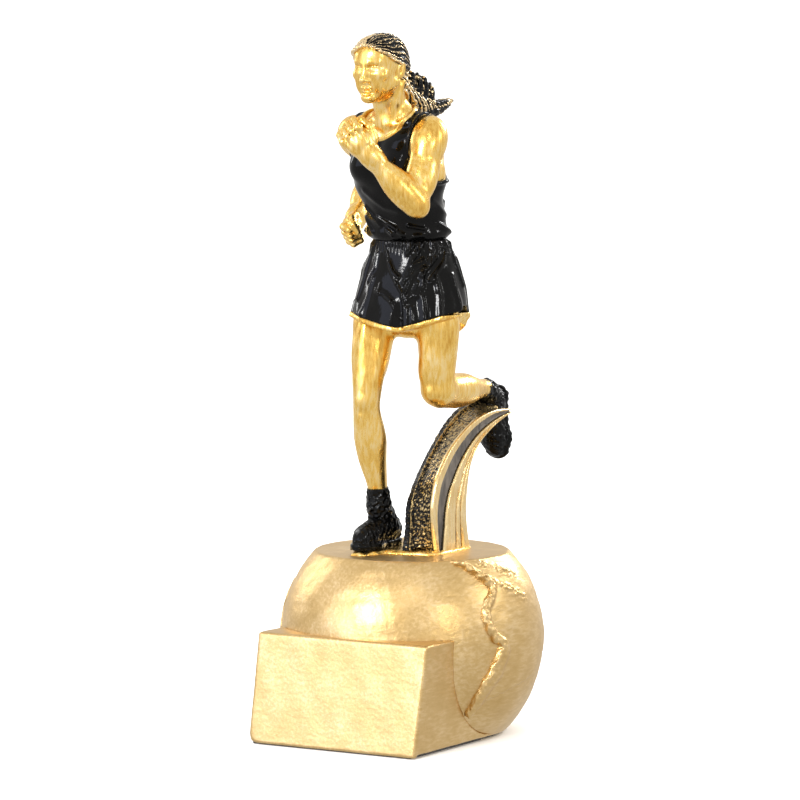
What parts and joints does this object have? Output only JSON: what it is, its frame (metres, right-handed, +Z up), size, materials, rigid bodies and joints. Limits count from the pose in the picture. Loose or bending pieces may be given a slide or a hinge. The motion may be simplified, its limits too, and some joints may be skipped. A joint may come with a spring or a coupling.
{
  "type": "figure trophy",
  "caption": "Award figure of a runner in singlet and shorts, on a globe with a plinth block for an engraved plate",
  "frame": {"origin": "On the globe's vertical axis, at the underside of the felt pad", "axes": "+Z up; -Y is the front, where the runner runs to and the block's plate face looks; +X is the runner's left"},
  "size_m": [0.074, 0.0828, 0.1937],
  "materials": {
    "felt": "short-pile black felt, matt",
    "pale_gold": "pale champagne-gold metallic paint on cast resin, satin, lightly brush-marked",
    "gold": "bright gold metallic paint on cast resin, satin, brush-marked",
    "steel": "plain drawn steel",
    "hatched_black_gold": "gloss black with gold dry-brushed over a hatched texture",
    "smoke_grey": "smoke-grey gloss paint",
    "black_gloss": "gloss black paint on cast resin",
    "hair_black": "gloss black with gold dry-brushed strands"
  },
  "bodies": {
    "root": {"felt_pad": "felt", "globe": "pale_gold", "globe_land": "pale_gold", "plinth_block": "pale_gold", "block_dowels": "steel", "ground_patch": "gold", "fin": "hatched_black_gold", "fin_ribs": "gold", "fin_stripe": "smoke_grey", "fin_dowels": "steel", "leg_rod": "steel", "right_shoe": "black_gloss", "right_sock": "black_gloss", "right_shin": "gold", "right_thigh": "gold", "left_shoe": "black_gloss", "left_sock": "black_gloss", "left_shin": "gold", "left_thigh": "gold", "shorts": "black_gloss", "shorts_hem": "gold", "singlet": "black_gloss", "singlet_trim": "gold", "neck_and_chest": "gold", "right_upper_arm": "gold", "right_forearm": "gold", "right_fist": "gold", "left_upper_arm": "gold", "left_forearm": "gold", "left_fist": "gold", "head": "gold", "hair": "hair_black", "ponytail": "hair_black"}
  },
  "joints": []
}
